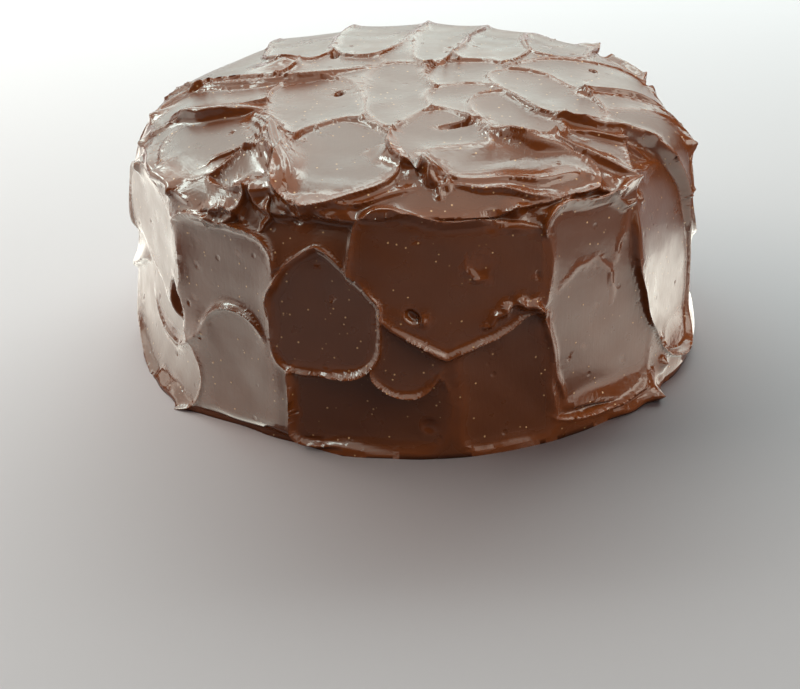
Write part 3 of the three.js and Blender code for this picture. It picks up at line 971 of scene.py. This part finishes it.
def chocolate(look):
    """Glossy dark chocolate frosting with pale specks, small pits and a slightly uneven sheen; the specks are
    partly painted glints, and its ridges and thin crests carry a painted glow.
    """
    bench = NodeBench("chocolate_frosting")
    place = bench.add("ShaderNodeTexCoord").outputs["Object"]
    crest = bench.attribute("crest", "Fac")
    ridge = bench.attribute("ridge", "Fac")
    # Pale specks: partly crumbs, partly painted glints on tiny bubbles; the bump below also raises the same
    # dots
    speck_and_glint = bench.dots(place, SPECK_SCALE, SPECK_PICK, SPECK_EDGE)

    patches = bench.ramp(bench.noise(place, PATCH_SCALE, detail=3), *PATCH_SHOWN)
    body = bench.mix(patches, (*look.dark, 1), (*look.light, 1))
    # Painted glow: the ridges take a lighter, redder colour that stands in for light shining through thin
    # frosting
    body = bench.mix(ridge, body, (*look.ridge, 1))
    # Painted glow: the thin crests take a still lighter, redder colour for light shining through the thinnest
    # frosting
    body = bench.mix(bench.math("MULTIPLY", crest, CREST_GLOW_SHARE), body, (*look.crest, 1))
    bench.feed(bench.shader.inputs["Base Color"], bench.mix(speck_and_glint, body, (*look.speck_and_glint, 1)))

    sheen = bench.noise(place, SHEEN_SCALE, detail=4)
    rough = bench.ramp(sheen, *SHEEN_SHOWN, look.roughness - SMOOTHER, look.roughness + ROUGHER)
    wet = bench.math("MULTIPLY", ridge, look.wetness)
    bench.feed(bench.shader.inputs["Roughness"], bench.math("SUBTRACT", rough, wet))
    bench.shader.inputs["IOR"].default_value = look.refraction

    bubbles = bench.dots(place, BUBBLE_SCALE, BUBBLE_PICK, BUBBLE_EDGE)
    grain = bench.noise(place, GRAIN_SCALE, detail=3)
    drag = bench.attribute("drag", "Vector")
    drawn = bench.add("ShaderNodeVectorMath", {0: drag, 1: LINE_WAVES}, operation="MULTIPLY").outputs[0]
    lines = bench.noise(drawn, scale=1, detail=2)
    height = bench.math("SUBTRACT", bench.math("MULTIPLY", grain, GRAIN_HEIGHT), bubbles)
    height = bench.math("ADD", height, bench.math("MULTIPLY", speck_and_glint, SPECK_HEIGHT))
    height = bench.math("ADD", height, bench.math("MULTIPLY", lines, LINE_HEIGHT))
    bump = bench.add("ShaderNodeBump", {"Height": height, "Strength": BUMP_STRENGTH, "Distance": BUMP_DEPTH})
    bench.feed(bench.shader.inputs["Normal"], bump.outputs["Normal"])
    return bench.material


def plain(name, colour, roughness):
    """A plain matt material."""
    bench = NodeBench(name)
    bench.shader.inputs["Base Color"].default_value = (*colour, 1)
    bench.shader.inputs["Roughness"].default_value = roughness
    return bench.material


class FrostingLook(PropertyGroup):
    """What the frosting is like."""

    dark: FloatVectorProperty(
        name="Dark", description="Colour of the frosting", subtype="COLOR", default=(0.073, 0.0182, 0.0046)
    )
    light: FloatVectorProperty(
        name="Light",
        description="Colour of its lighter patches",
        subtype="COLOR",
        default=(0.088, 0.0232, 0.0066),
    )
    # Ridges: a lighter, redder colour on the ridges, a painted glow of light through thin frosting
    ridge: FloatVectorProperty(
        name="Ridges",
        description="Colour of its thinner ridges",
        subtype="COLOR",
        default=(0.105, 0.0255, 0.0058),
    )
    # Crests: a painted glow of light through the thinnest edges
    crest: FloatVectorProperty(
        name="Crests", description="Colour of its thin edges", subtype="COLOR", default=(0.2, 0.05, 0.012)
    )
    # Specks: pale dots, partly crumbs and partly painted glints
    speck_and_glint: FloatVectorProperty(
        name="Specks", description="Colour of the specks in it", subtype="COLOR", default=(0.42, 0.24, 0.12)
    )
    roughness: FloatProperty(name="Roughness", description="Mean roughness", subtype="FACTOR", default=0.3)
    wetness: FloatProperty(
        name="Wetness", description="How much smoother its ridges are", subtype="FACTOR", default=0.16
    )
    refraction: FloatProperty(
        name="Refraction", description="Index of refraction, for the gloss", default=1.45
    )
    columns: IntProperty(
        name="Columns", description="Faces along each quarter of the cake's round", default=76
    )
    rows: IntProperty(name="Rows", description="Faces from the rim to the foot", default=42)


class StudioLook(PropertyGroup):
    """What stands round the cake."""

    floor: FloatVectorProperty(
        name="Floor", description="Colour of the floor", subtype="COLOR", default=(0.72, 0.63, 0.66)
    )
    cool: FloatVectorProperty(
        name="Cool", description="Colour of the cooler lights", subtype="COLOR", default=(0.82, 1, 0.95)
    )
    warm: FloatVectorProperty(
        name="Warm", description="Colour of the warmer lights", subtype="COLOR", default=(1, 1, 0.88)
    )
    back_light: FloatProperty(
        name="Back light", description="Power of the light behind", unit="POWER", default=45
    )
    crown_light: FloatProperty(
        name="Crown light", description="Power of the high light behind", unit="POWER", default=17
    )
    right_light: FloatProperty(
        name="Right light", description="Power of the high right light", unit="POWER", default=9
    )
    left_light: FloatProperty(
        name="Left light", description="Power of the low left light", unit="POWER", default=1.2
    )
    high_light: FloatProperty(
        name="High light", description="Power of the high left light", unit="POWER", default=13
    )
    spark: FloatProperty(
        name="Spark", description="Power of the narrow bright light", unit="POWER", default=25
    )
    right_panel: FloatProperty(
        name="Right panel", description="Power of the panel on the right", unit="POWER", default=0.5
    )
    front_panel: FloatProperty(
        name="Front panel", description="Power of the small panel", unit="POWER", default=0.125
    )
    left_panel: FloatProperty(
        name="Left panel", description="Power of the panel on the left", unit="POWER", default=1.7
    )
    front_light: FloatProperty(
        name="Front light", description="Power of the front light", unit="POWER", default=12
    )
    top_light: FloatProperty(
        name="Top light", description="Power of the light overhead", unit="POWER", default=29
    )
    floor_wash: FloatProperty(
        name="Floor wash", description="Power of the floor's light", unit="POWER", default=26
    )
    glint: FloatProperty(
        name="Glint", description="Power of the small high light", unit="POWER", default=8
    )
    air: FloatProperty(name="Air", description="Brightness of the room", default=0.07)


@dataclass
class SoftBox:
    """A soft light: its place and size in metres, and its pitch and turn in degrees from facing down.

    A mirrored one shows in the gloss alone, and kept_on names the one piece that it lights. The cake's
    own are kept off the floor, so that its wall mirrors no bright floor.
    """

    name: str
    place: tuple
    width: float
    height: float
    pitch: float = 0
    turn: float = 0
    cool: bool = False
    mirrored: bool = False
    kept_on: str = ""


SOFT_BOXES = (
    # behind the cake
    SoftBox("back_light", (0, 1.6, 0.92), 3.3, 1.6, pitch=-63, cool=True),
    SoftBox("crown_light", (0, 1, 1.35), 1.9, 0.3, pitch=-39, cool=True, kept_on="frosting"),
    # panels that lie on the floor
    SoftBox("right_panel", (0.135, 0.18, 0.003), 0.13, 0.44, pitch=180, mirrored=True),
    SoftBox("front_panel", (0.175, -0.11, 0.003), 0.15, 0.11, pitch=180, mirrored=True),
    SoftBox("left_panel", (-0.3, 0.15, 0.003), 0.48, 0.56, pitch=180, mirrored=True),
    # at the sides, in front and overhead
    SoftBox("right_light", (0.97, -0.17, 0.75), 0.7, 0.7, pitch=8, turn=55, kept_on="frosting"),
    SoftBox("left_light", (-0.95, 0.05, 0.15), 0.26, 0.7, turn=-84),
    SoftBox("high_light", (-1.2, 0.3, 0.8), 1.2, 1.4, pitch=-12, turn=-60),
    SoftBox("spark", (-1.5, 0.7, 1.2), 0.24, 1.7, turn=-53, cool=True, mirrored=True, kept_on="frosting"),
    SoftBox("front_light", (1.35, -1.05, 0.9), 2, 1, pitch=33, turn=58, kept_on="frosting"),
    SoftBox("top_light", (0, -0.25, 1.5), 2.2, 2.2, kept_on="frosting"),
    SoftBox(
        "glint", (-0.6, -0.3, 1.6), 0.35, 0.35, pitch=10, turn=-22,
        cool=True, mirrored=True, kept_on="frosting",
    ),
    # over the floor behind the cake
    SoftBox("floor_wash", (0, 1.3, 1.1), 3.4, 1.2, cool=True, kept_on="studio_floor"),
)


class CAKE_OT_spread_frosting(Operator):
    """Builds the cake with its frosting in place of the plain solid"""

    bl_idname = "cake.spread_frosting"
    bl_label = "Spread Frosting"

    # A face whose normal points further down than this is the box's underside
    DOWNWARD = -0.5

    def execute(self, context):
        look = context.scene.frosting_look
        mesh = bmesh.new()
        bmesh.ops.create_cube(mesh, size=2)
        upright = edges_along(mesh, upright=True)
        bmesh.ops.subdivide_edges(mesh, edges=upright, cuts=look.rows - 1)
        level = edges_along(mesh, upright=False)
        bmesh.ops.subdivide_edges(mesh, edges=level, cuts=look.columns - 1, use_grid_fill=True)
        bottom = [face for face in mesh.faces if face.normal.z < self.DOWNWARD]
        bmesh.ops.dissolve_faces(mesh, faces=bottom)
        for tolerance in SPLITS:
            split_bends(mesh, tolerance * MM)
        points, marks = frosted_points(mesh)
        for vertex, point in zip(mesh.verts, points):
            vertex.co = point
        for face in mesh.faces:
            face.smooth = has_few_corners(face)
        piece = new_piece("frosting", mesh, chocolate(look))
        for name, values in marks.items():
            kind, field = ("FLOAT", "value") if values.ndim == 1 else ("FLOAT_VECTOR", "vector")
            attribute = piece.data.attributes.new(name, kind, "POINT")
            attribute.data.foreach_set(field, values.ravel())
        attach(piece, "root")
        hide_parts("frosted_cake")
        return {"FINISHED"}


class CAKE_OT_set_studio(Operator):
    """Sets the floor, the soft lights and the camera"""

    bl_idname = "cake.set_studio"
    bl_label = "Set Studio"

    # The camera was fitted to the cake's outline: place in metres, and degrees
    EYE = (-0.0064, -0.5782, 0.2998)
    PITCH = 28.70
    ROLL = -1.08
    FOCAL_PIXELS = 1442.2
    IMAGE_WIDTH = 800
    SENSOR_WIDTH = 36.0
    CLIP_START = 0.01

    # The floor, and the colour of the light that fills the room
    FLOOR_SIZE = 8.0
    FLOOR_ROUGHNESS = 0.9
    WHITE = (1, 1, 1, 1)

    def execute(self, context):
        studio = context.scene.studio_look
        self.lay_floor(studio)
        for box in SOFT_BOXES:
            self.add_light(box, studio)
        world = bpy.data.worlds.new("studio_air")
        world.use_nodes = True
        air = world.node_tree.nodes["Background"]
        air.inputs["Color"].default_value = self.WHITE
        air.inputs["Strength"].default_value = studio.air
        context.scene.world = world
        context.scene.view_settings.view_transform = "Standard"
        self.place_camera(context.scene)
        return {"FINISHED"}

    def lay_floor(self, studio):
        """A plain pale floor under the cake."""
        mesh = bmesh.new()
        bmesh.ops.create_grid(mesh, x_segments=1, y_segments=1, size=self.FLOOR_SIZE / 2)
        material = plain("studio_floor", studio.floor, self.FLOOR_ROUGHNESS)
        new_piece("studio_floor", mesh, material)

    def add_light(self, box, studio):
        """A light that no camera sees, with the power that the settings hold under its name."""
        light = bpy.data.lights.new(box.name, "AREA")
        light.shape = "RECTANGLE"
        light.size = box.width
        light.size_y = box.height
        light.energy = getattr(studio, box.name)
        light.color = studio.cool if box.cool else studio.warm
        lamp = bpy.data.objects.new(box.name, light)
        lamp.location = box.place
        lamp.rotation_euler = (math.radians(box.pitch), math.radians(box.turn), 0)
        lamp.visible_camera = False
        lamp.visible_diffuse = not box.mirrored
        if box.kept_on:
            lamp.light_linking.receiver_collection = self.only(box.kept_on)
        bpy.context.scene.collection.objects.link(lamp)

    def only(self, name):
        """A collection that holds one piece alone."""
        lit = bpy.data.collections.get(f"lit_{name}")
        if lit is None:
            lit = bpy.data.collections.new(f"lit_{name}")
            lit.objects.link(bpy.data.objects[name])
        return lit

    def place_camera(self, scene):
        """A camera at the angle of the photograph."""
        data = bpy.data.cameras.new("camera")
        data.sensor_fit = "HORIZONTAL"
        data.sensor_width = self.SENSOR_WIDTH
        data.lens = self.FOCAL_PIXELS / self.IMAGE_WIDTH * self.SENSOR_WIDTH
        data.clip_start = self.CLIP_START
        camera = bpy.data.objects.new("camera", data)
        level = Matrix.Rotation(math.radians(90 - self.PITCH), 4, "X")
        tilt = Matrix.Rotation(math.radians(self.ROLL), 4, "Z")
        camera.matrix_world = Matrix.Translation(self.EYE) @ level @ tilt
        scene.collection.objects.link(camera)
        scene.camera = camera


class CAKE_PT_panel(Panel):
    """Lists what makes the cake and its studio"""

    bl_label = "Cake"
    bl_space_type = "VIEW_3D"
    bl_region_type = "UI"
    bl_category = "Cake"

    def draw(self, context):
        for look, operator in (
            (context.scene.frosting_look, CAKE_OT_spread_frosting),
            (context.scene.studio_look, CAKE_OT_set_studio),
        ):
            box = self.layout.box()
            for name in look.__annotations__:
                box.prop(look, name)
            box.operator(operator.bl_idname)


CLASSES = (FrostingLook, StudioLook, CAKE_OT_spread_frosting, CAKE_OT_set_studio, CAKE_PT_panel)


def register():
    """Adds the classes and the settings that they read."""
    for kind in CLASSES:
        bpy.utils.register_class(kind)
    bpy.types.Scene.frosting_look = PointerProperty(type=FrostingLook)
    bpy.types.Scene.studio_look = PointerProperty(type=StudioLook)


def unregister():
    """Takes them away again."""
    del bpy.types.Scene.studio_look
    del bpy.types.Scene.frosting_look
    for kind in reversed(CLASSES):
        bpy.utils.unregister_class(kind)


def main():
    """Builds the cake and its studio."""
    register()
    bpy.ops.cake.spread_frosting()
    bpy.ops.cake.set_studio()


if __name__ == "__main__":
    main()
